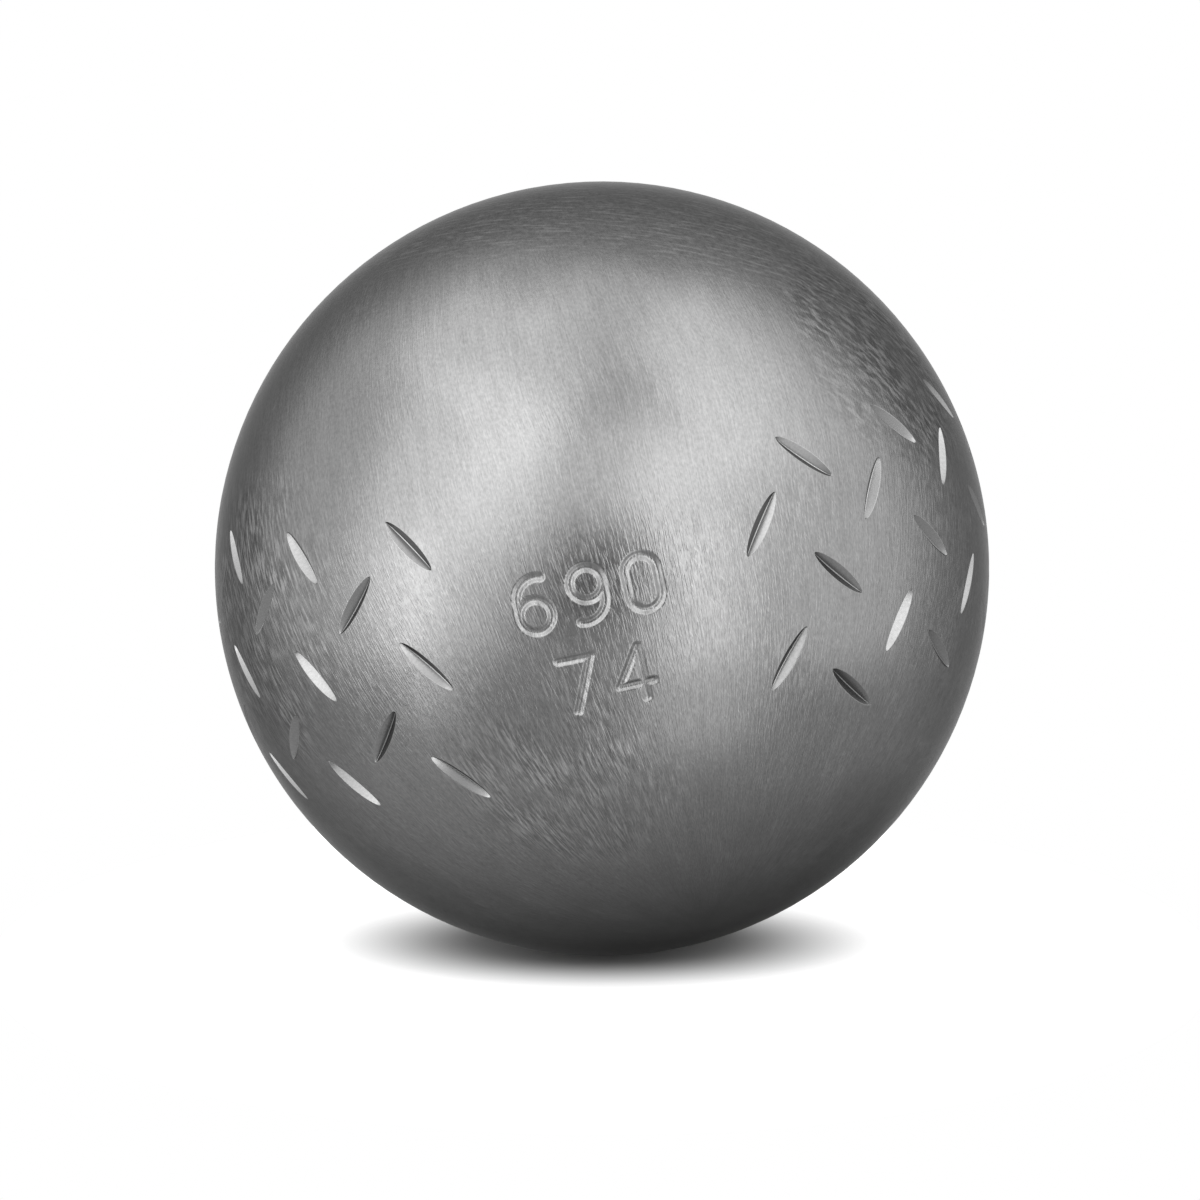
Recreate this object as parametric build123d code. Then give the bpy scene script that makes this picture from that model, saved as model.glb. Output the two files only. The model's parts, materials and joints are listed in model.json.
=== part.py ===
from build123d import *
import os
from math import atan2, cos, degrees, radians, sin, sqrt, tan

# A hollow steel boule: two pressed half shells, joined by a ring of weld metal, with grip flutes milled in a belt.
# Millimetres and degrees. The origin is the centre of the ball, +Z is up and -Y is the front.
# The ball is drawn with the axis of its belt upright, and then laid down with that axis leaning to the left.

# Ball
BALL_DIAMETER = 74.0
WALL = 6.0
BELT_LEAN = 12.2

# Weld joint between the half shells: a V groove over a narrow root
ROOT_GAP = 0.8
ROOT_LAND = 1.5
BEVEL_ANGLE = 30.0
ROOT_BEAD_WIDTH = 3.0
ROOT_BEAD_HEIGHT = 0.8

# Disc cutter that mills the flutes: its rim is a plain V
CUTTER_DIAMETER = 28.0
CUTTER_ANGLE = 110.0
FLUTE_DEPTH = 0.5

# Belt of flutes: columns of three that fall to the right, between columns of two that rise to the right
BELT_COLUMNS = 36
BARE_COLUMNS = 4
FLUTE_SLANT = 48.4
FALLING_ROWS = 16.5
RISING_ROWS = 9.4

# How far the drawn stretch of the cutter runs past the metal that it removes, as a multiple
OVERRUN = 1.5

# Sizes that follow from those above
OUTER_RADIUS = BALL_DIAMETER / 2
INNER_RADIUS = OUTER_RADIUS - WALL
CUTTER_RADIUS = CUTTER_DIAMETER / 2
COLUMN_STEP = 360.0 / BELT_COLUMNS


def on_circle(radius, height):
    """The point at a given height on the right side of a circle about the origin."""
    return (sqrt(radius**2 - height**2), height)


def below(point):
    """The mirror image of a point in the seam plane."""
    return (point[0], -point[1])


# Section of the weld joint above the seam plane, as radius and height
lip_inside = on_circle(INNER_RADIUS, ROOT_GAP / 2)
lip_land = (INNER_RADIUS + ROOT_LAND, ROOT_GAP / 2)
bead_edge = on_circle(INNER_RADIUS, ROOT_BEAD_WIDTH / 2)
bead_crest = (INNER_RADIUS - ROOT_BEAD_HEIGHT, 0)

# The bevel leaves the land at its angle to the seam plane, and ends on the outside of the ball
bevel_way = (cos(radians(BEVEL_ANGLE)), sin(radians(BEVEL_ANGLE)))
bevel_along = lip_land[0] * bevel_way[0] + lip_land[1] * bevel_way[1]
bevel_length = sqrt(bevel_along**2 - lip_land[0]**2 - lip_land[1]**2 + OUTER_RADIUS**2) - bevel_along
lip_outside = (lip_land[0] + bevel_length * bevel_way[0], lip_land[1] + bevel_length * bevel_way[1])


def wall_arc(start, end):
    """The arc about the centre of the ball from one point to another at the same radius."""
    radius = sqrt(start[0]**2 + start[1]**2)
    middle = (atan2(start[1], start[0]) + atan2(end[1], end[0])) / 2
    return ThreePointArc(start, (radius * cos(middle), radius * sin(middle)), end)


def turned(outline):
    """A full turn of a closed section about the axis of the belt."""
    return revolve(make_face(Plane.XZ * Wire(outline)), Axis.Z)


def half_shell():
    """The half shell above the seam plane, with the land and bevel of its lip."""
    pole_outside = (0, OUTER_RADIUS)
    pole_inside = (0, INNER_RADIUS)
    return turned([
        Line(lip_inside, lip_land),
        Line(lip_land, lip_outside),
        wall_arc(lip_outside, pole_outside),
        Line(pole_outside, pole_inside),
        wall_arc(pole_inside, lip_inside),
    ])


def weld_ring():
    """The weld metal: flush with the ball outside, with a rounded bead inside that covers both lips."""
    return turned([
        wall_arc(below(lip_outside), lip_outside),
        Line(lip_outside, lip_land),
        Line(lip_land, lip_inside),
        wall_arc(lip_inside, bead_edge),
        ThreePointArc(bead_edge, bead_crest, below(bead_edge)),
        wall_arc(below(bead_edge), below(lip_inside)),
        Line(below(lip_inside), below(lip_land)),
        Line(below(lip_land), below(lip_outside)),
    ])


def cutter_rim():
    """The stretch of the cutter's rim that meets the ball.

    Its lowest point is at the origin, the spindle runs along Y above it, and the flute that it mills runs along X.
    """
    top = OVERRUN * FLUTE_DEPTH
    top_half_width = top * tan(radians(CUTTER_ANGLE / 2))
    section = make_face(Plane.YZ * Polyline((-top_half_width, top), (0, 0), (top_half_width, top), close=True))
    # The flute ends where the circle of the rim leaves the circle of the ball
    centres = OUTER_RADIUS - FLUTE_DEPTH + CUTTER_RADIUS
    end_cosine = (centres**2 + CUTTER_RADIUS**2 - OUTER_RADIUS**2) / (2 * centres * CUTTER_RADIUS)
    swing = OVERRUN * degrees(atan2(sqrt(1 - end_cosine**2), end_cosine))
    spindle = Axis((0, 0, CUTTER_RADIUS), (0, 1, 0))
    return revolve(section.rotate(spindle, -swing), spindle, 2 * swing)


def flute_places():
    """The place of every flute, with local Z out of the ball and local X along the flute.

    The columns stand evenly round the belt. The same number is left out at the front and at the back, to leave
    room for a marking.
    """
    places = []
    for column in range(BELT_COLUMNS):
        turn = column + 0.5
        from_bare_middle = min(turn, BELT_COLUMNS - turn, abs(turn - BELT_COLUMNS / 2))
        if from_bare_middle < BARE_COLUMNS / 2:
            continue
        rises = column % 2 == 0
        slant = FLUTE_SLANT if rises else -FLUTE_SLANT
        rows = (RISING_ROWS, -RISING_ROWS) if rises else (FALLING_ROWS, 0, -FALLING_ROWS)
        for row in rows:
            facing = Rot(0, 0, turn * COLUMN_STEP) * Rot(90 - row, 0, 0)
            places.append(facing * Pos(0, 0, OUTER_RADIUS - FLUTE_DEPTH) * Rot(0, 0, slant))
    return places


def milled(blank, cutters):
    """The blank with every flute that lies at its height."""
    span = blank.bounding_box()
    reaching = []
    for cutter in cutters:
        height = cutter.bounding_box()
        if height.max.Z > span.min.Z and height.min.Z < span.max.Z:
            reaching.append(cutter)
    return blank - reaching


rim = cutter_rim()
cutters = [place * rim for place in flute_places()]
upper = half_shell()
blanks = {
    "upper_half_shell": upper,
    "lower_half_shell": upper.mirror(Plane.XY),
    "weld_seam": weld_ring(),
}

os.makedirs("parts", exist_ok=True)
for name, blank in blanks.items():
    export_step(Rot(0, -BELT_LEAN, 0) * milled(blank, cutters), f"parts/{name}.step")
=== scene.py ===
import json
from math import asin, atan, cos, degrees, pi, radians, sin, sqrt, tan

import bpy
import numpy as np
from mathutils import Matrix, Vector


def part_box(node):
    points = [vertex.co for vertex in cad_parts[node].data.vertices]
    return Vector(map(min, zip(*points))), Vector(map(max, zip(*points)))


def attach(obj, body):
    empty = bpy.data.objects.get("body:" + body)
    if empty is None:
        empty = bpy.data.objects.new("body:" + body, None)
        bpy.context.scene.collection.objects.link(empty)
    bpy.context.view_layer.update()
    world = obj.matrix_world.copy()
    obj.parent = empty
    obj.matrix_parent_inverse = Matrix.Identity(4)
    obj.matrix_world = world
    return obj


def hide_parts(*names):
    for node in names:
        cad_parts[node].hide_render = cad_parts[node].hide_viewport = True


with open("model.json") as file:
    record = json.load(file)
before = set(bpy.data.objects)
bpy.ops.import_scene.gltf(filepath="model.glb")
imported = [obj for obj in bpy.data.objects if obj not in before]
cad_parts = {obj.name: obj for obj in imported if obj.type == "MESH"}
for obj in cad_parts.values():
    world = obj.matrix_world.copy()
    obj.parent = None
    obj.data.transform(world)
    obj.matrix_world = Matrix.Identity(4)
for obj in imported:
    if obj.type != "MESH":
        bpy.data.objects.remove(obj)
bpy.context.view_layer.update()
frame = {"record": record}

# A satin steel boule: two half shells and a weld ring, with a belt of milled flutes and a marking of numbers
# Sizes are in millimetres and degrees until a mesh is made, which is in metres
# The ball is drawn with the axis of its belt upright
# Longitude 0 is the front, and east is to the viewer's right
METRE = 0.001
REST_POINT = frame["record"]["mounts"][0]
FLOOR_HEIGHT = REST_POINT["pos_m"][2]
BALL_RADIUS = -FLOOR_HEIGHT / METRE
BELT_LEAN = 12.2
WALL = 6.0

# Weld joint between the half shells. The weld's box gives the latitude at which it meets them outside
ROOT_GAP = 0.8
ROOT_LAND = 1.5
ROOT_BEAD_WIDTH = 3.0
ROOT_BEAD_HEIGHT = 0.8
weld_low, weld_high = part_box("weld_seam")
WELD_LATITUDE = degrees(asin((weld_high[2] - weld_low[2]) / METRE / (2 * BALL_RADIUS))) - BELT_LEAN

# Belt of flutes
COLUMN_STEP = 10.0
BARE_HALF_WIDTH = 20.0
BELT_LATITUDE = 24.0
FLUTE_SLANT = 48.4
FALLING_ROW = 16.5
RISING_ROW = 9.4

# One flute: the cutter gives its length and width. Its edges and root are rounded, and its ends are blunt
FLUTE_DEPTH = 0.5
CUTTER_RADIUS = 14.0
CUTTER_ANGLE = 110.0
FLUTE_END_POWER = 0.6
LEAST_ROOM_AT_END = 0.02
EDGE_ROUNDING = 0.1
ROOT_ROUNDING = 0.12
WALL_SLOPE = 1.0

# Marking in the bare gap: two lines of plain numbers, the mass in grams over the diameter in millimetres
FIGURE_HEIGHT = 4.7
FIGURE_GAP = 2.0
LINE_PITCH = 7.6
STROKE_WIDTH = 1.0
STROKE_DEPTH = 0.2
STROKE_WALL = 0.9
MARKING_LONGITUDE = -0.6
SLOPE_REACH = 0.02

# How finely the surfaces are divided
COLUMN_CELLS = 16
SHELL_BELT_CELLS = 30
WELD_BELT_CELLS = 14
FLUTE_RINGS = (0.0, 0.05, 0.13, 0.26, 0.46, 0.72, 1.0)
FLUTE_ACROSS = 3
MARKING_STEP = 0.15
MARKING_HALF_WIDTH = 12.0
MARKING_HALF_HEIGHT = 11.4
MARKING_MARGIN = 0.5
MARKING_SIDE_CELLS = 9
MARKING_TOP_CELLS = 11
TURN_CELLS = 144
CAP_CELLS = 26
INNER_CELLS = 16
BEAD_CELLS = 12
MERGED_DECIMALS = 5

# Finishes on the pieces, in the order of their material slots
SKIN, MILLED, RAW = range(3)

lean = np.array(Matrix.Rotation(radians(-BELT_LEAN), 3, "Y"))


# Places on the ball

def outward(longitude, latitude):
    """The unit vector out of the ball at a longitude and latitude of the belt."""
    turn, rise = np.radians(longitude), np.radians(latitude)
    return np.stack([np.cos(rise) * np.sin(turn), -np.cos(rise) * np.cos(turn), np.sin(rise)], -1)


def east(longitude):
    """The unit vector along the belt, towards higher longitude."""
    turn = np.radians(longitude)
    return np.stack([np.cos(turn), np.sin(turn), 0 * turn], -1)


def north(longitude, latitude):
    """The unit vector along the meridian, towards higher latitude."""
    turn, rise = np.radians(longitude), np.radians(latitude)
    return np.stack([-np.sin(rise) * np.sin(turn), np.sin(rise) * np.cos(turn), np.cos(rise)], -1)


def unit(vectors):
    """Vectors of length 1 in the same directions."""
    return vectors / np.linalg.norm(vectors, axis=-1, keepdims=True)


# Triangles between rows of points

def grid_faces(shape):
    """Two triangles in each cell of a grid of points, counted row by row."""
    corner = np.arange(shape[0] * shape[1]).reshape(shape)
    a, b, c, d = corner[:-1, :-1], corner[:-1, 1:], corner[1:, 1:], corner[1:, :-1]
    return np.stack([np.stack([a, b, c], -1), np.stack([a, c, d], -1)]).reshape(-1, 3)


def strip_faces(lower, upper):
    """Triangles between two rows of points with different counts.

    The rows are given by the places of their points along the strip. Each edge of a row makes a triangle
    with the point of the other row that the edges before its middle lead to. The upper row is counted
    after the lower one.
    """
    low_middle = (lower[:-1] + lower[1:]) / 2
    high_middle = (upper[:-1] + upper[1:]) / 2
    low, high = np.arange(len(lower) - 1), np.arange(len(upper) - 1)
    over = len(lower) + np.searchsorted(high_middle, low_middle, "left")
    under = np.searchsorted(low_middle, high_middle, "right")
    return np.concatenate([
        np.stack([low, low + 1, over], -1),
        np.stack([len(lower) + high + 1, len(lower) + high, under], -1),
    ])


def patch(points, normals, faces, finish):
    """One stretch of surface: its points, the way that they face, its triangles and its finish."""
    return points.reshape(-1, 3), normals.reshape(-1, 3), faces, np.full(len(faces), finish)


# Marking

def line_distance(x, y, start, end):
    """How far points are from a straight stroke."""
    way = np.subtract(end, start)
    share = np.clip(((x - start[0]) * way[0] + (y - start[1]) * way[1]) / (way @ way), 0, 1)
    return np.hypot(x - start[0] - share * way[0], y - start[1] - share * way[1])


def arc_distance(x, y, centre, radius, start, sweep):
    """How far points are from a round stroke, which turns anticlockwise from its start by its sweep."""
    turn = (np.degrees(np.arctan2(y - centre[1], x - centre[0])) - start) % 360
    to_ends = []
    for end in np.radians([start, start + sweep]):
        to_ends.append(np.hypot(x - centre[0] - radius * np.cos(end), y - centre[1] - radius * np.sin(end)))
    to_round = np.abs(np.hypot(x - centre[0], y - centre[1]) - radius)
    return np.where(turn <= sweep, to_round, np.minimum(*to_ends))


# Shapes of the figures, as shares of their height, and the angle at which the hook of a six starts
FIGURE_WIDTH = 0.6
BOWL = FIGURE_WIDTH / 2
HOOK = 0.42
HOOK_START = 75.0
SEVEN_FOOT = 0.18
FOUR_UPRIGHT = 0.45
FOUR_LEVEL = 0.3
FOUR_LEVEL_END = 0.63


def nought(x, y):
    """Two half rounds joined by two upright lines."""
    return np.minimum.reduce([
        arc_distance(x, y, (BOWL, 1 - BOWL), BOWL, 0, 180),
        arc_distance(x, y, (BOWL, BOWL), BOWL, 180, 180),
        line_distance(x, y, (0, BOWL), (0, 1 - BOWL)),
        line_distance(x, y, (FIGURE_WIDTH, BOWL), (FIGURE_WIDTH, 1 - BOWL)),
    ])


def six(x, y):
    """A round bowl, and a stem that bends over to the right above it."""
    return np.minimum.reduce([
        arc_distance(x, y, (BOWL, BOWL), BOWL, 0, 360),
        line_distance(x, y, (0, BOWL), (0, 1 - HOOK)),
        arc_distance(x, y, (HOOK, 1 - HOOK), HOOK, HOOK_START, 180 - HOOK_START),
    ])


def nine(x, y):
    """A six turned by half a turn."""
    return six(FIGURE_WIDTH - x, 1 - y)


def seven(x, y):
    """A level line, and a slanting one from its right end."""
    return np.minimum(
        line_distance(x, y, (0, 1), (FIGURE_WIDTH, 1)),
        line_distance(x, y, (FIGURE_WIDTH, 1), (SEVEN_FOOT, 0)),
    )


def four(x, y):
    """An upright line, a slanting one from its top, and a level one."""
    return np.minimum.reduce([
        line_distance(x, y, (FOUR_UPRIGHT, 0), (FOUR_UPRIGHT, 1)),
        line_distance(x, y, (FOUR_UPRIGHT, 1), (0, FOUR_LEVEL)),
        line_distance(x, y, (0, FOUR_LEVEL), (FOUR_LEVEL_END, FOUR_LEVEL)),
    ])


MARKING_LINES = ((six, nine, nought), (seven, four))


def marking_depth(longitude, latitude):
    """How deep the marking is cut: a trough with rounded edges along the middle lines of the figures."""
    x = BALL_RADIUS * np.radians(longitude - MARKING_LONGITUDE) * np.cos(np.radians(latitude))
    y = BALL_RADIUS * np.radians(latitude)
    distance = np.full(x.shape, np.inf)
    for row, figures in enumerate(MARKING_LINES):
        width = FIGURE_HEIGHT * FIGURE_WIDTH
        left = -(len(figures) * width + (len(figures) - 1) * FIGURE_GAP) / 2
        base = (len(MARKING_LINES) - 1) * LINE_PITCH / 2 - row * LINE_PITCH - FIGURE_HEIGHT / 2
        for place, figure in enumerate(figures):
            start = left + place * (width + FIGURE_GAP)
            here = figure((x - start) / FIGURE_HEIGHT, (y - base) / FIGURE_HEIGHT)
            distance = np.minimum(distance, here * FIGURE_HEIGHT)
    share = np.clip((STROKE_WIDTH / 2 - distance) / (STROKE_WALL * STROKE_WIDTH / 2), 0, 1)
    return STROKE_DEPTH * share**2 * (3 - 2 * share)


def skin(longitude, latitude):
    """A grid of the outer skin with the marking cut into it. The slopes of the cut turn its facing."""
    out = outward(longitude, latitude)
    depth = marking_depth(longitude, latitude)
    reach = SLOPE_REACH
    across = marking_depth(longitude + reach, latitude) - marking_depth(longitude - reach, latitude)
    along = marking_depth(longitude, latitude + reach) - marking_depth(longitude, latitude - reach)
    span = 2 * BALL_RADIUS * radians(reach)
    slope_east = (across / span / np.cos(np.radians(latitude)))[..., None] * east(longitude)
    slope_north = (along / span)[..., None] * north(longitude, latitude)
    points = out * (BALL_RADIUS - depth)[..., None]
    return points, unit(out + slope_east + slope_north)


# Flutes

def flute_half_length():
    """Half the length over which the round cutter is below the skin, measured along the ball."""
    centres = BALL_RADIUS - FLUTE_DEPTH + CUTTER_RADIUS
    cosine = (BALL_RADIUS**2 + centres**2 - CUTTER_RADIUS**2) / (2 * BALL_RADIUS * centres)
    return BALL_RADIUS * np.arccos(cosine)


HALF_LENGTH = flute_half_length()
HALF_WIDTH = FLUTE_DEPTH * tan(radians(CUTTER_ANGLE / 2))


def flute_section(share):
    """Depth and slope of the flute's section, over a half width of 1, from its edge at 0 to its root at 1.

    A rounded edge, a straight wall and a rounded root follow each other, each a parabola or a line.
    """
    edge, root = EDGE_ROUNDING, ROOT_ROUNDING
    wall = share - edge / 2
    depth = np.where(share < edge, share**2 / (2 * edge), wall)
    depth = np.where(share > 1 - root, wall - (share - 1 + root)**2 / (2 * root), depth)
    slope = np.where(share < edge, share / edge, 1.0)
    return depth, np.where(share > 1 - root, (1 - share) / root, slope)


def plain_cell(west, latitudes):
    """One column of the belt between two latitudes, with no flute in it."""
    out = outward(*np.meshgrid(np.linspace(west, west + COLUMN_STEP, COLUMN_CELLS + 1), latitudes))
    return patch(out * BALL_RADIUS, out, grid_faces(out.shape[:2]), SKIN)


def flute_cell(west, latitudes, row, slant):
    """One column of the belt with one flute in it, from the flute's root out to the edges of the cell.

    The flute's outline is a lens: its half width falls with a power of the room at each place along it,
    which is one less the square of the place. Its trough is a grid along and across the flute. Rings then
    blend the outline into the edges of the cell.
    """
    columns = np.linspace(west, west + COLUMN_STEP, COLUMN_CELLS + 1)
    middle = west + COLUMN_STEP / 2
    here, to_east, to_north = outward(middle, row), east(middle), north(middle, row)
    turn = radians(slant)
    along_way = cos(turn) * to_east + sin(turn) * to_north
    across_way = cos(turn) * to_north - sin(turn) * to_east

    # The edges of the cell, anticlockwise from the corner that one end of the flute points to
    low, high = latitudes[0], latitudes[-1]
    sides = [
        np.stack([np.full(len(latitudes), columns[-1]), latitudes], -1),
        np.stack([columns[::-1], np.full(len(columns), high)], -1),
        np.stack([np.full(len(latitudes), columns[0]), latitudes[::-1]], -1),
        np.stack([columns, np.full(len(columns), low)], -1),
    ]
    if slant > 0:
        sides = sides[1:] + sides[:1]
    rim = np.concatenate([side[:-1] for side in sides] + [sides[0][:1]])
    count = len(rim) // 2

    # The trough
    place = np.cos(np.linspace(0, pi, count + 1))
    room = np.sin(np.linspace(0, pi, count + 1))**2
    room[[0, -1]] = 0
    half_width = HALF_WIDTH * room**FLUTE_END_POWER
    steepness = np.maximum(room, LEAST_ROOM_AT_END)**(FLUTE_END_POWER - 1)
    lens_slope = -2 * FLUTE_END_POWER * place * steepness * HALF_WIDTH / HALF_LENGTH
    half = np.concatenate([
        np.linspace(1, 1 - EDGE_ROUNDING, FLUTE_ACROSS + 1),
        np.linspace(1 - EDGE_ROUNDING, ROOT_ROUNDING, FLUTE_ACROSS + 1)[1:],
        np.linspace(ROOT_ROUNDING, 0, FLUTE_ACROSS + 1)[1:],
    ])
    share = np.concatenate([half, -half[-2::-1]])
    depth, slope = flute_section(1 - np.abs(share))
    sunk = WALL_SLOPE * half_width[:, None] * depth
    slope_across = -WALL_SLOPE * np.sign(share) * slope + 0 * sunk
    slope_along = WALL_SLOPE * lens_slope[:, None] * (depth + np.abs(share) * slope)
    flat = (
        here
        + (HALF_LENGTH * place)[:, None, None] / BALL_RADIUS * along_way
        + (half_width[:, None] * share)[..., None] / BALL_RADIUS * across_way
    )
    out = unit(flat)
    trough = patch(
        out * (BALL_RADIUS - sunk)[..., None],
        unit(out + slope_along[..., None] * along_way + slope_across[..., None] * across_way),
        grid_faces(sunk.shape)[:, ::-1],
        MILLED,
    )

    # The skin round it
    outline = np.concatenate([out[:, 0], out[-2::-1, -1]])
    share = np.array(FLUTE_RINGS)[:, None, None]
    rings = unit((1 - share) * outline + share * outward(rim[:, 0], rim[:, 1]))
    apron = patch(rings * BALL_RADIUS, rings, grid_faces(rings.shape[:2])[:, ::-1], SKIN)
    return [trough, apron]


# Half shells and weld ring

def marking_nodes():
    """The longitudes at which the bare gap at the front is divided: finely under the marking."""
    edge = BARE_HALF_WIDTH - MARKING_MARGIN
    fine_cells = round(2 * MARKING_HALF_WIDTH / MARKING_STEP)
    fine = np.linspace(-MARKING_HALF_WIDTH, MARKING_HALF_WIDTH, fine_cells + 1)
    side = np.linspace(MARKING_HALF_WIDTH, edge, MARKING_SIDE_CELLS + 1)[1:]
    return np.concatenate([-side[::-1], fine, side])


def belt_nodes():
    """The longitudes of the points round the edge of the belt, from the left end of the bare gap."""
    columns = round((360 - 2 * BARE_HALF_WIDTH) / COLUMN_STEP)
    flutes = np.linspace(BARE_HALF_WIDTH, 360 - BARE_HALF_WIDTH, columns * COLUMN_CELLS + 1)
    return np.concatenate([[-BARE_HALF_WIDTH], marking_nodes(), flutes])


def belt(latitudes, fine_latitudes, row_of):
    """The outer skin of one piece in the belt: the marking's window, strips beside it and the columns."""
    window = np.meshgrid(marking_nodes(), fine_latitudes)
    patches = [patch(*skin(*window), grid_faces(window[0].shape), SKIN)]
    for side in (-1, 1):
        coarse_place = np.full(len(latitudes), side * BARE_HALF_WIDTH)
        fine_place = np.full(len(fine_latitudes), side * (BARE_HALF_WIDTH - MARKING_MARGIN))
        both_places = np.concatenate([coarse_place, fine_place])
        out = outward(both_places, np.concatenate([latitudes, fine_latitudes]))
        faces = strip_faces(latitudes, fine_latitudes)[:, ::side]
        patches.append(patch(out * BALL_RADIUS, out, faces, SKIN))
    gap = round(BARE_HALF_WIDTH / COLUMN_STEP)
    half_turn = round(180 / COLUMN_STEP)
    for column in range(gap, 2 * half_turn - gap):
        west = column * COLUMN_STEP
        rises = column % 2 == 0
        row = row_of(rises)
        if row is None or half_turn - gap <= column < half_turn + gap:
            patches.append(plain_cell(west, latitudes))
            continue
        first, *_, last = np.flatnonzero(np.abs(latitudes - row) <= COLUMN_STEP / 2)
        patches += flute_cell(west, latitudes[first:last + 1], row, FLUTE_SLANT if rises else -FLUTE_SLANT)
        patches.append(plain_cell(west, latitudes[:first + 1]))
        patches.append(plain_cell(west, latitudes[last:]))
    return patches


def turned(profile, facing, side):
    """A full turn of a row of points, given as radius and height, each with the way that it faces.

    Side is 1 where the row is on the left of the way that it faces, seen from the front, and otherwise -1.
    """
    turn = np.radians(np.linspace(0, 360, TURN_CELLS + 1))
    round_ways = np.stack([np.sin(turn), -np.cos(turn)], -1)

    def spin(rows):
        """Rows of radius and height, carried round the axis."""
        flat = rows[:, None, :1] * round_ways
        return np.concatenate([flat, np.broadcast_to(rows[:, None, 1:], flat.shape[:2] + (1,))], -1)

    points = spin(np.array(profile, float))
    return patch(points, unit(spin(np.array(facing, float))), grid_faces(points.shape[:2])[:, ::side], RAW)


def lip_profile():
    """The points of a half shell's lip, as radius and height: inside, at the end of the land and outside."""
    inner = BALL_RADIUS - WALL
    inside = (sqrt(inner**2 - (ROOT_GAP / 2)**2), ROOT_GAP / 2)
    land = (inner + ROOT_LAND, ROOT_GAP / 2)
    outside = (BALL_RADIUS * cos(radians(WELD_LATITUDE)), BALL_RADIUS * sin(radians(WELD_LATITUDE)))
    return inside, land, outside


def bevel(side, of_shell):
    """The slanted face of the weld joint on one side of its plane, from the belt's edge in to the land."""
    _, land, outside = lip_profile()
    nodes = belt_nodes()
    edge, _ = skin(nodes, np.full(len(nodes), side * WELD_LATITUDE))
    turn = np.linspace(nodes[0], nodes[-1], TURN_CELLS + 1)
    foot = land[0] * outward(turn, 0 * turn) + [0, 0, side * land[1]]
    slope = unit(np.array([outside[1] - land[1], -(outside[0] - land[0])]))
    rows = np.concatenate([nodes, turn])
    facing = slope[0] * outward(rows, 0 * rows) + [0, 0, side * slope[1]]
    sign = 1 if of_shell else -1
    faces = strip_faces(nodes, turn)[:, ::-side * sign]
    return patch(np.concatenate([edge, foot]), sign * facing, faces, RAW)


def half_shell(side):
    """Points and triangles of the half shell above the seam plane, or below it where side is -1."""
    inside, land, _ = lip_profile()
    latitudes = np.linspace(WELD_LATITUDE, BELT_LATITUDE, SHELL_BELT_CELLS + 1)
    fine = np.concatenate([
        np.arange(WELD_LATITUDE, MARKING_HALF_HEIGHT, MARKING_STEP),
        np.linspace(MARKING_HALF_HEIGHT, BELT_LATITUDE, MARKING_TOP_CELLS + 1),
    ])
    order = slice(None, None, side)
    rows = {True: side * RISING_ROW, False: side * FALLING_ROW}
    patches = belt((side * latitudes)[order], (side * fine)[order], rows.get)

    # From the belt to the pole
    nodes = belt_nodes()
    turn = np.linspace(nodes[0], nodes[-1], TURN_CELLS + 1)
    cap = np.linspace(BELT_LATITUDE, 90, CAP_CELLS + 1)[1:]
    edge = outward(nodes, np.full(len(nodes), side * BELT_LATITUDE))
    ring = outward(turn, np.full(len(turn), side * cap[0]))
    out = np.concatenate([edge, ring])
    patches.append(patch(out * BALL_RADIUS, out, strip_faces(nodes, turn)[:, order], SKIN))
    dome = outward(*np.meshgrid(turn, side * cap))
    patches.append(patch(dome * BALL_RADIUS, dome, grid_faces(dome.shape[:2])[:, order], SKIN))

    # The lip and the inside
    patches.append(bevel(side, True))
    lip = [(land[0], side * land[1]), (inside[0], side * inside[1])]
    patches.append(turned(lip, [(0, -side)] * 2, -side))
    rise = np.linspace(np.arctan2(inside[1], inside[0]), pi / 2, INNER_CELLS + 1)
    inner = np.stack([np.cos(rise), side * np.sin(rise)], -1)
    patches.append(turned((BALL_RADIUS - WALL) * inner, -inner, -side))
    return patches


def weld_ring():
    """Points and triangles of the weld metal: flush outside, with a rounded bead inside."""
    inside, land, _ = lip_profile()
    latitudes = np.linspace(-WELD_LATITUDE, WELD_LATITUDE, WELD_BELT_CELLS + 1)
    fine = np.linspace(-WELD_LATITUDE, WELD_LATITUDE, round(2 * WELD_LATITUDE / MARKING_STEP) + 1)
    patches = belt(latitudes, fine, {True: None, False: 0.0}.get)
    patches += [bevel(1, False), bevel(-1, False)]

    # The bead inside is a round arc over both lips
    inner = BALL_RADIUS - WALL
    bead_edge = sqrt(inner**2 - (ROOT_BEAD_WIDTH / 2)**2)
    rise = bead_edge - (inner - ROOT_BEAD_HEIGHT)
    bead_radius = ((ROOT_BEAD_WIDTH / 2)**2 + rise**2) / (2 * rise)
    half_sweep = asin(ROOT_BEAD_WIDTH / 2 / bead_radius)
    sweep = np.linspace(half_sweep, -half_sweep, BEAD_CELLS + 1)
    bead_way = np.stack([-np.cos(sweep), np.sin(sweep)], -1)
    bead = bead_radius * bead_way + [inner - ROOT_BEAD_HEIGHT + bead_radius, 0]
    for side in (1, -1):
        corners = [(land[0], side * land[1]), (inside[0], side * inside[1])]
        patches.append(turned(corners, [(0, side)] * 2, side))
        patches.append(turned([corners[1], (bead_edge, side * ROOT_BEAD_WIDTH / 2)], [(1, 0)] * 2, side))
    patches.append(turned(bead, bead_way, 1))
    return patches


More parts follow.
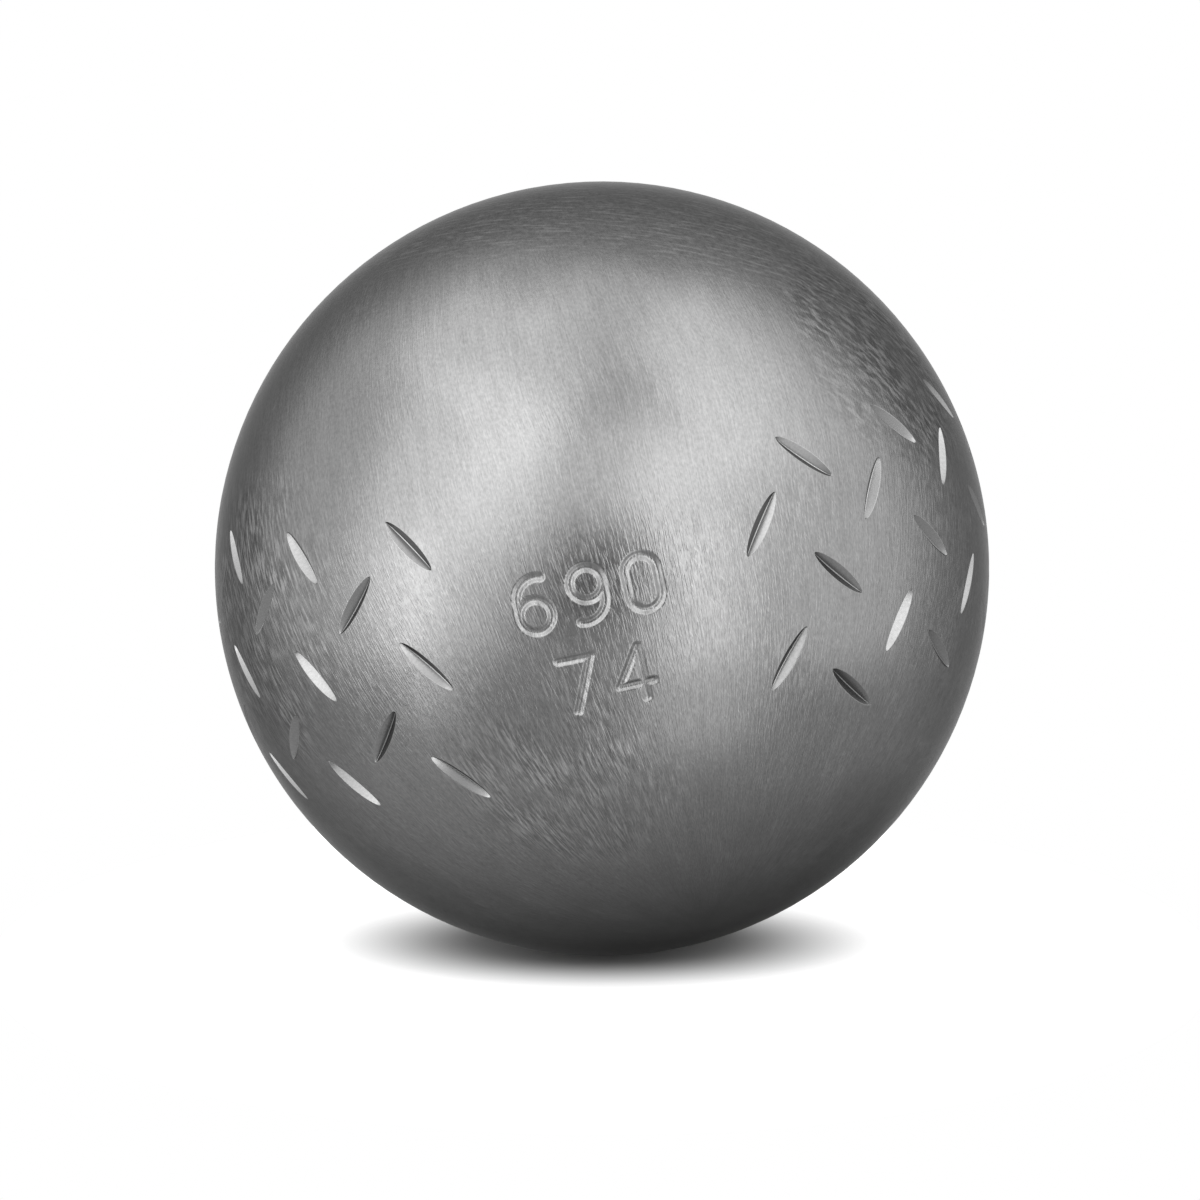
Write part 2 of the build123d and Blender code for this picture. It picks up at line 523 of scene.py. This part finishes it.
def piece(name, patches, finishes):
    """A closed mesh from patches that share edges, leaned as the ball lies, with a normal per corner."""
    points, normals, faces, finish = [], [], [], []
    first = 0
    for part_points, part_normals, part_faces, part_finish in patches:
        points.append(part_points)
        normals.append(part_normals)
        faces.append(part_faces + first)
        finish.append(part_finish)
        first += len(part_points)
    points, normals = np.concatenate(points), np.concatenate(normals)
    faces, finish = np.concatenate(faces), np.concatenate(finish)

    # Points at the same place become one, and triangles that this closes up go
    rounded = np.round(points, MERGED_DECIMALS)
    _, kept, merged = np.unique(rounded, axis=0, return_index=True, return_inverse=True)
    joined = merged.reshape(-1)[faces]
    whole = (joined != np.roll(joined, 1, axis=1)).all(axis=1)

    mesh = bpy.data.meshes.new(name)
    mesh.from_pydata(points[kept] @ lean.T * METRE, [], joined[whole])
    mesh.polygons.foreach_set("material_index", finish[whole].astype(np.int32))
    mesh.polygons.foreach_set("use_smooth", np.ones(whole.sum(), bool))
    mesh.update()
    mesh.normals_split_custom_set((normals[faces[whole]].reshape(-1, 3) @ lean.T).tolist())
    for material in finishes:
        mesh.materials.append(material)
    thing = bpy.data.objects.new(name, mesh)
    bpy.context.scene.collection.objects.link(thing)
    return thing


# Finishes

class Value:
    """A number that varies over a surface. Arithmetic on it adds Math nodes to its finish."""

    def __init__(self, finish, socket):
        self.finish = finish
        self.socket = socket

    def maths(self, operation, *numbers):
        """A Math node on some numbers."""
        return self.finish.node("ShaderNodeMath", {"operation": operation}, dict(enumerate(numbers)))

    def __add__(self, other):
        return self.maths("ADD", self, other)

    def __sub__(self, other):
        return self.maths("SUBTRACT", self, other)

    def __rsub__(self, other):
        return self.maths("SUBTRACT", other, self)

    def __mul__(self, other):
        return self.maths("MULTIPLY", self, other)

    def __truediv__(self, other):
        return self.maths("DIVIDE", self, other)

    def __rtruediv__(self, other):
        return self.maths("DIVIDE", other, self)

    __radd__ = __add__
    __rmul__ = __mul__


class Finish:
    """The nodes of a material, the world or the floor."""

    def __init__(self, holder):
        self.holder = holder
        holder.use_nodes = True
        self.tree = holder.node_tree
        self.tree.nodes.clear()

    def node(self, kind, settings, sockets, output=0):
        """Adds a node: its settings, then the values or links of its sockets. Gives one of its outputs."""
        node = self.tree.nodes.new(kind)
        for name, setting in settings.items():
            setattr(node, name, setting)
        for name, value in sockets.items():
            if isinstance(value, Value):
                self.tree.links.new(value.socket, node.inputs[name])
            else:
                node.inputs[name].default_value = value
        return Value(self, node.outputs[output]) if node.outputs else None

    def place(self):
        """Where the surface is, in the frame of its object, in metres."""
        return self.node("ShaderNodeTexCoord", {}, {}, "Object")

    def vector(self, operation, *vectors):
        """Vector arithmetic, which gives a number where the operation does."""
        output = "Value" if operation in ("LENGTH", "DISTANCE", "DOT_PRODUCT") else "Vector"
        return self.node("ShaderNodeVectorMath", {"operation": operation}, dict(enumerate(vectors)), output)

    def noise(self, x, y, size, detail):
        """Soft random blots between 0 and 1, of one size in x and one in y, with finer ones inside."""
        spot = self.node("ShaderNodeCombineXYZ", {}, {"X": x / size[0], "Y": y / size[1]})
        settings = {"noise_dimensions": "2D"}
        return self.node("ShaderNodeTexNoise", settings, {"Vector": spot, "Scale": 1.0, "Detail": detail})

    def rise(self, value, low, high):
        """0 below low, 1 above high, with a smooth rise between them."""
        settings = {"interpolation_type": "SMOOTHSTEP"}
        sockets = {"Value": value, "From Min": low, "From Max": high}
        return self.node("ShaderNodeMapRange", settings, sockets)

    def ray(self, kind):
        """1 for a ray of this kind, and otherwise 0."""
        return self.node("ShaderNodeLightPath", {}, {}, f"Is {kind} Ray")

    def mirrored(self):
        """1 for what is seen in metal or glass, and otherwise 0."""
        glossy = self.ray("Glossy")
        return glossy.maths("MAXIMUM", glossy, self.ray("Transmission"))


def grey(level):
    """A neutral colour."""
    return (level, level, level, 1.0)


# Steel: its colour, its colour at the rim of the ball, and its roughness
STEEL = 0.14
STEEL_EDGE = 0.4
SATIN = 0.28
MILLED_STEEL = 0.175
MILLED_SATIN = 0.3
RAW_ROUGHNESS = 0.5

# The middle of a noise, about which its light and dark marks lie, and how many finer layers a noise has
MIDDLE = 0.5
PLAIN, SOFT, FINE, RICH, RICHEST = range(5)

# The brush ran along meridians about its own axis, and the polishing wheel round another near the top
BRUSH_AXIS = unit(np.array([-0.25, 0.4865, 0.834]))
TURNING_AXIS = unit(np.array([0.12, 0.50, 0.857]))
BELT_AXIS = lean @ [0, 0, 1]
WANDER = 1.2
WANDER_SIZE = (14.0, 14.0)

# Sizes of the marks across and along their way
GRAIN = (0.24, 0.42)
DASH = (0.17, 1.5)
HAIRLINE = (0.10, 2.5)
BROAD_STREAK = (0.9, 7.0)
TURNING_MARK = (0.9, 0.5)
TURNING_STREAK = (4.5, 0.4)
DASH_PATCH = (7.0, 7.0)

# How far the marks lighten or roughen the steel
GRAIN_LIGHT = 0.45
HAIR_LIGHT = 0.3
BROAD_LIGHT = 0.22
DASH_LIGHT = 0.2
DASH_ROUGHNESS = 0.11
MARK_LIGHT = 0.7
MARK_EVERYWHERE = 0.15
TURNING_LIGHT = 0.4

# How deep the marks are, and the shares of the others beside a dash of full depth
STREAK_DEPTH = 0.008
HAIR_RELIEF = 0.5
BROAD_RELIEF = 0.8
GRAIN_RELIEF = 0.7

# Levels of the noise between which a mark comes in
DASH_LEVELS = (0.45, 0.7)
STREAK_LEVELS = (0.5, 0.75)
PATCH_LEVELS = (0.3, 0.7)
COARSE_LEVELS = (0.4, 0.7)
SCRATCH_LEVELS = (0.72, 0.8)
SCUFF_LEVELS = (0.64, 0.78)

# Patches that are brushed more coarsely, as the ways that they face and the cosines where they fade
COARSE_DASH = (0.33, 2.0)
COARSE_LIGHT = 0.95
COARSE_DARK = 0.32
COARSE_EVERYWHERE = 0.35
SWIRL = (0.75, 1.1)
SWIRL_LEAN = 0.9
SWIRL_LIGHT = 0.85
SWIRL_DARK = 0.4
LEFT_PATCH = (-0.87, -0.49, -0.03)
RIGHT_PATCH = (0.69, -0.41, 0.60)
LOWER_PATCH = (-0.10, -0.93, -0.36)
LEFT_FADE = (0.90, 0.985)
RIGHT_FADE = (0.94, 0.985)
LOWER_FADE = (0.945, 1.0)
LOWER_SHARE = 0.85

# Sparse scratches that cross the brush marks of the lower patch
SCRATCH = (0.13, 5.0)
SCRATCH_LEAN = -0.5
SCRATCH_LIGHT = 0.35

# Short scuffs over the lower half
SCUFF = (0.16, 1.0)
SCUFF_LEAN = 0.6
SCUFF_LIGHT = 0.2

# The cut of the flutes, and the scale on the inside
CHATTER = (0.22, 0.22)
CHATTER_LIGHT = 0.3
SCALE_BLOT = (3.5, 3.5)
SCALE_LIGHT = 0.7

# Heights on the ball where the brush marks come in, where the wheel's do, and where the grain takes over
BRUSHED_FROM = (-44.0, -28.0)
TURNED_FROM = (15.0, 22.0)
GRAINED_FROM = (4.0, 16.0)
GRAIN_COVER = 0.6


def round_place(finish, axis):
    """How far a point of the ball lies round an axis from the front, and along the skin from its equator."""
    place = finish.place()
    right = unit(np.cross([0, 1, 0], axis))
    ahead = np.cross(axis, right)
    ways = (right, -ahead, axis)
    to_right, to_front, up = (finish.vector("DOT_PRODUCT", place, tuple(way)) for way in ways)
    around = BALL_RADIUS * to_right.maths("ARCTAN2", to_right, to_front)
    along = BALL_RADIUS * up.maths("ARCSINE", up / (BALL_RADIUS * METRE))
    return around, along


def metal(finish, level, sockets):
    """A finished steel of a grey level that varies, with the rest of its sockets."""
    colour = finish.node("ShaderNodeCombineColor", {}, {0: level, 1: level, 2: level})
    steel = {"Base Color": colour, "Metallic": 1.0, "Specular Tint": grey(STEEL_EDGE)}
    shader = finish.node("ShaderNodeBsdfPrincipled", {}, steel | sockets)
    finish.node("ShaderNodeOutputMaterial", {}, {"Surface": shader})
    return finish.holder


def satin_steel():
    """The brushed skin: grain above, light dashes below, coarse patches, and a wheel's marks on top."""
    finish = Finish(bpy.data.materials.new("satin_steel"))
    around, along = round_place(finish, BRUSH_AXIS)
    around = around + WANDER * finish.noise(around, along, WANDER_SIZE, SOFT)
    turning, up = round_place(finish, TURNING_AXIS)
    _, height = round_place(finish, BELT_AXIS)
    turned = finish.rise(up, *TURNED_FROM)
    grained = finish.rise(height, *GRAINED_FROM)
    brushed = finish.rise(height, *BRUSHED_FROM) * (1 - turned) * (1 - GRAIN_COVER * grained)

    # Marks of the brush and of the wheel
    grain = finish.noise(around, along, GRAIN, FINE)
    dash = finish.rise(finish.noise(around, along, DASH, SOFT), *DASH_LEVELS)
    hairline = finish.noise(around, along, HAIRLINE, SOFT)
    broad = finish.noise(around, along, BROAD_STREAK, FINE)
    mark = finish.noise(turning, up, TURNING_MARK, RICHEST)
    streak = turned * finish.rise(finish.noise(turning, up, TURNING_STREAK, FINE), *STREAK_LEVELS)
    relief = brushed * (dash + HAIR_RELIEF * hairline + BROAD_RELIEF * broad) + turned * mark
    relief = relief + GRAIN_RELIEF * grain
    blotched = finish.rise(finish.noise(around, along, DASH_PATCH, FINE), *PATCH_LEVELS)
    dash = brushed * blotched * dash

    # Coarse patches, scratches and scuffs
    way = finish.vector("NORMALIZE", finish.place())
    left = finish.rise(finish.vector("DOT_PRODUCT", way, LEFT_PATCH), *LEFT_FADE)
    right = finish.rise(finish.vector("DOT_PRODUCT", way, RIGHT_PATCH), *RIGHT_FADE)
    lower = finish.rise(finish.vector("DOT_PRODUCT", way, LOWER_PATCH), *LOWER_FADE)
    coarse = finish.rise(finish.noise(around, along, COARSE_DASH, FINE), *COARSE_LEVELS)
    swirl = finish.rise(finish.noise(around + SWIRL_LEAN * along, along, SWIRL, RICH), *COARSE_LEVELS)
    scratch = finish.noise(around + SCRATCH_LEAN * along, along, SCRATCH, PLAIN)
    scratch = finish.rise(scratch, *SCRATCH_LEVELS)
    rubbed = (left + LOWER_SHARE * lower) * (COARSE_LIGHT * coarse - COARSE_DARK)
    rubbed = rubbed + right * (SWIRL_LIGHT * swirl - SWIRL_DARK)
    rubbed = (COARSE_EVERYWHERE + (1 - COARSE_EVERYWHERE) * blotched) * rubbed
    rubbed = rubbed + SCRATCH_LIGHT * lower * scratch
    scuff = finish.noise(around + SCUFF_LEAN * along, along, SCUFF, SOFT)
    scuff = (1 - grained) * finish.rise(scuff, *SCUFF_LEVELS)

    # What they add up to
    marked = MARK_LIGHT * (MARK_EVERYWHERE + (1 - MARK_EVERYWHERE) * turned) * (mark - MIDDLE)
    lined = HAIR_LIGHT * (hairline - MIDDLE) + BROAD_LIGHT * (broad - MIDDLE)
    streaked = GRAIN_LIGHT * (grain - MIDDLE) + (1 - turned) * lined
    level = STEEL * (1 + marked + TURNING_LIGHT * streak)
    level = level * (1 + streaked + DASH_LIGHT * dash + SCUFF_LIGHT * scuff + rubbed)
    bump = {"Strength": 1.0, "Distance": STREAK_DEPTH * METRE, "Height": relief}
    return metal(finish, level, {
        "Roughness": SATIN + DASH_ROUGHNESS * dash,
        "Normal": finish.node("ShaderNodeBump", {}, bump),
    })


def blotted_steel(name, tone, roughness, blot, contrast):
    """Steel whose tone and roughness vary in blots of one size."""
    finish = Finish(bpy.data.materials.new(name))
    turning, height = round_place(finish, BELT_AXIS)
    varied = contrast * (finish.noise(turning, height, blot, RICH) - MIDDLE)
    return metal(finish, tone * (1 + varied), {"Roughness": roughness * (1 - varied)})


finishes = [
    satin_steel(),
    blotted_steel("milled_steel", MILLED_STEEL, MILLED_SATIN, CHATTER, CHATTER_LIGHT),
    blotted_steel("scaled_steel", STEEL, RAW_ROUGHNESS, SCALE_BLOT, SCALE_LIGHT),
]
boule = {
    "upper_half_shell": (half_shell(1), "shell_steel"),
    "lower_half_shell": (half_shell(-1), "shell_steel"),
    "weld_seam": (weld_ring(), "weld_steel"),
}
for node, (patches, slot) in boule.items():
    made = piece(f"{node}_finished", patches, finishes)
    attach(made, "root")
    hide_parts(node)


# Stage

# Lengths are in metres here, and the table's are multiples of the ball's radius
RADIUS = BALL_RADIUS * METRE
TABLE_RADIUS = 1.6 * RADIUS
TABLE_TURN_CELLS = 96
TABLE_RING_CELLS = 8
TABLE_COLOUR = 0.4
# Painted shadow that the camera sees: the table's white glow fades in over these distances from the point of
# rest, flattened front to back by the next number
PAINTED_SEEN_SHADOW = (0.31 * RADIUS, 0.95 * RADIUS)
PAINTED_SHADOW_FLATNESS = 1.7
# Painted shadow that the steel mirrors: the table's glow fades in over these distances from a middle to the
# front and right of the ball, up to the glow's strength below
PAINTED_MIRRORED_SHADOW = (0.2 * RADIUS, 1.6 * RADIUS)
PAINTED_SHADOW_MIDDLE = (0.44 * RADIUS, -0.36 * RADIUS, 0)
MIRRORED_GLOW = 0.42
WORLD_FILL = 0.3
LAMP_DISTANCE = 0.42
CARD_DISTANCE = 0.40
CARD_ELEVATION = 8.0
CARD_HALF_SIZE = 12.0
CARD_COLOUR = 0.02


def white_table():
    """A pale matt top, which fades up to the plain white of the world away from the ball.

    The white is a glow that fades out close to the point of rest, which paints the shadow that the camera
    sees there, over the real shading of the matt top. The steel mirrors a weaker glow with a wider painted
    shadow, whose middle lies to the front and right of that point.
    """
    finish = Finish(bpy.data.materials.new("white_table"))
    place = finish.place()
    # Painted shadow: for the camera the white glow fades out close to the ball, where only the matt top's
    # real shading is left
    flattened = finish.vector("MULTIPLY", place, (1, PAINTED_SHADOW_FLATNESS, 1))
    seen = finish.ray("Camera") * finish.rise(finish.vector("LENGTH", flattened), *PAINTED_SEEN_SHADOW)
    # Painted shadow in the steel's reflection: the mirrored glow fades out round a middle to the front and
    # right of the ball
    away = finish.vector("DISTANCE", place, PAINTED_SHADOW_MIDDLE)
    mirrored = MIRRORED_GLOW * finish.mirrored() * finish.rise(away, *PAINTED_MIRRORED_SHADOW)
    matt = finish.node("ShaderNodeBsdfDiffuse", {}, {"Color": grey(TABLE_COLOUR)})
    white = finish.node("ShaderNodeEmission", {}, {"Color": grey(1.0), "Strength": seen + mirrored})
    both = finish.node("ShaderNodeAddShader", {}, {0: matt, 1: white})
    finish.node("ShaderNodeOutputMaterial", {}, {"Surface": both})
    return finish.holder


def table():
    """A small round table top under the ball: rings of points, spun round."""
    turns = np.linspace(0, 2 * pi, TABLE_TURN_CELLS + 1)
    turn, away = np.meshgrid(turns, np.linspace(0, TABLE_RADIUS, TABLE_RING_CELLS + 1))
    points = np.stack([away * np.cos(turn), away * np.sin(turn), 0 * turn], -1)
    mesh = bpy.data.meshes.new("table")
    mesh.from_pydata(points.reshape(-1, 3), [], grid_faces(points.shape[:2])[:, ::-1])
    mesh.materials.append(white_table())
    thing = bpy.data.objects.new("table", mesh)
    thing.location.z = FLOOR_HEIGHT
    bpy.context.scene.collection.objects.link(thing)


def white_world():
    """White where it is seen, and a weak fill as a light."""
    scene = bpy.context.scene
    scene.world = bpy.data.worlds.new("white_world")
    finish = Finish(scene.world)
    seen = finish.ray("Camera") + finish.mirrored()
    strength = WORLD_FILL + (1 - WORLD_FILL) * seen
    light = finish.node("ShaderNodeBackground", {}, {"Color": grey(1.0), "Strength": strength})
    finish.node("ShaderNodeOutputWorld", {}, {"Surface": light})


def soft_box(name, azimuth, elevation, wide, high, radiance):
    """A rectangular lamp that faces the ball.

    Its azimuth is taken from the camera's side, and its width and height are angles as the ball sees them.
    """
    lamp = bpy.data.lights.new(name, "AREA")
    lamp.shape = "RECTANGLE"
    lamp.size = 2 * LAMP_DISTANCE * tan(radians(wide / 2))
    lamp.size_y = 2 * LAMP_DISTANCE * tan(radians(high / 2))
    lamp.energy = radiance * pi * lamp.size * lamp.size_y
    thing = bpy.data.objects.new(name, lamp)
    away = Vector(outward(azimuth, elevation))
    thing.location = LAMP_DISTANCE * away
    thing.rotation_euler = (-away).to_track_quat("-Z", "Y").to_euler()
    bpy.context.scene.collection.objects.link(thing)


def black_card():
    """A dark card behind the camera, which the steel mirrors and no camera sees."""
    finish = Finish(bpy.data.materials.new("black_card"))
    dark = finish.node("ShaderNodeBsdfDiffuse", {}, {"Color": grey(CARD_COLOUR)})
    finish.node("ShaderNodeOutputMaterial", {}, {"Surface": dark})
    half = CARD_DISTANCE * tan(radians(CARD_HALF_SIZE))
    across, up = np.meshgrid([-half, half], [-half, half])
    middle = CARD_DISTANCE * outward(0, CARD_ELEVATION)
    points = middle + across[..., None] * east(0) + up[..., None] * north(0, CARD_ELEVATION)
    mesh = bpy.data.meshes.new("black_card")
    mesh.from_pydata(points.reshape(-1, 3), [], grid_faces(points.shape[:2])[:, ::-1])
    mesh.materials.append(finish.holder)
    thing = bpy.data.objects.new("black_card", mesh)
    thing.visible_camera = False
    bpy.context.scene.collection.objects.link(thing)


# Camera: where the photograph was taken from
CAMERA_DISTANCE = 9.0 * RADIUS
CAMERA_ELEVATION = 9.0
IMAGE_SIZE = 1200
FOCAL_PIXELS = 3463.0
BALL_PIXEL = (602.0, 568.9)


def camera():
    """Looks at the ball from the front, turned so that the ball's centre falls on its pixel."""
    lens = bpy.data.cameras.new("camera")
    lens.lens = FOCAL_PIXELS / IMAGE_SIZE * lens.sensor_width
    thing = bpy.data.objects.new("camera", lens)
    rise = radians(CAMERA_ELEVATION)
    thing.location = CAMERA_DISTANCE * Vector(outward(0, CAMERA_ELEVATION))
    right = atan((BALL_PIXEL[0] - IMAGE_SIZE / 2) / FOCAL_PIXELS)
    above = atan((IMAGE_SIZE / 2 - BALL_PIXEL[1]) / FOCAL_PIXELS)
    thing.rotation_euler = (pi / 2 - rise - above, 0, right)
    scene = bpy.context.scene
    scene.collection.objects.link(thing)
    scene.camera = thing


table()
white_world()
black_card()
camera()
soft_box("left_strip", azimuth=-47, elevation=20, wide=50, high=72, radiance=1.85)
soft_box("left_foot", azimuth=-53, elevation=-9, wide=8, high=48, radiance=4.0)
soft_box("right_strip", azimuth=28, elevation=8, wide=38, high=100, radiance=1.55)
soft_box("right_core", azimuth=27, elevation=0, wide=17, high=33, radiance=2.7)
soft_box("right_top", azimuth=20, elevation=27, wide=19, high=22, radiance=0.9)
soft_box("upper_left", azimuth=-62, elevation=62, wide=56, high=28, radiance=1.65)
soft_box("upper_right", azimuth=60, elevation=66, wide=31, high=74, radiance=1.5)
soft_box("left_fill", azimuth=-78, elevation=33, wide=80, high=104, radiance=0.9)
soft_box("right_fill", azimuth=74, elevation=30, wide=58, high=98, radiance=1.4)
soft_box("front_top", azimuth=-4, elevation=31, wide=71, high=37, radiance=1.65)
bpy.context.scene.view_settings.view_transform = "Standard"
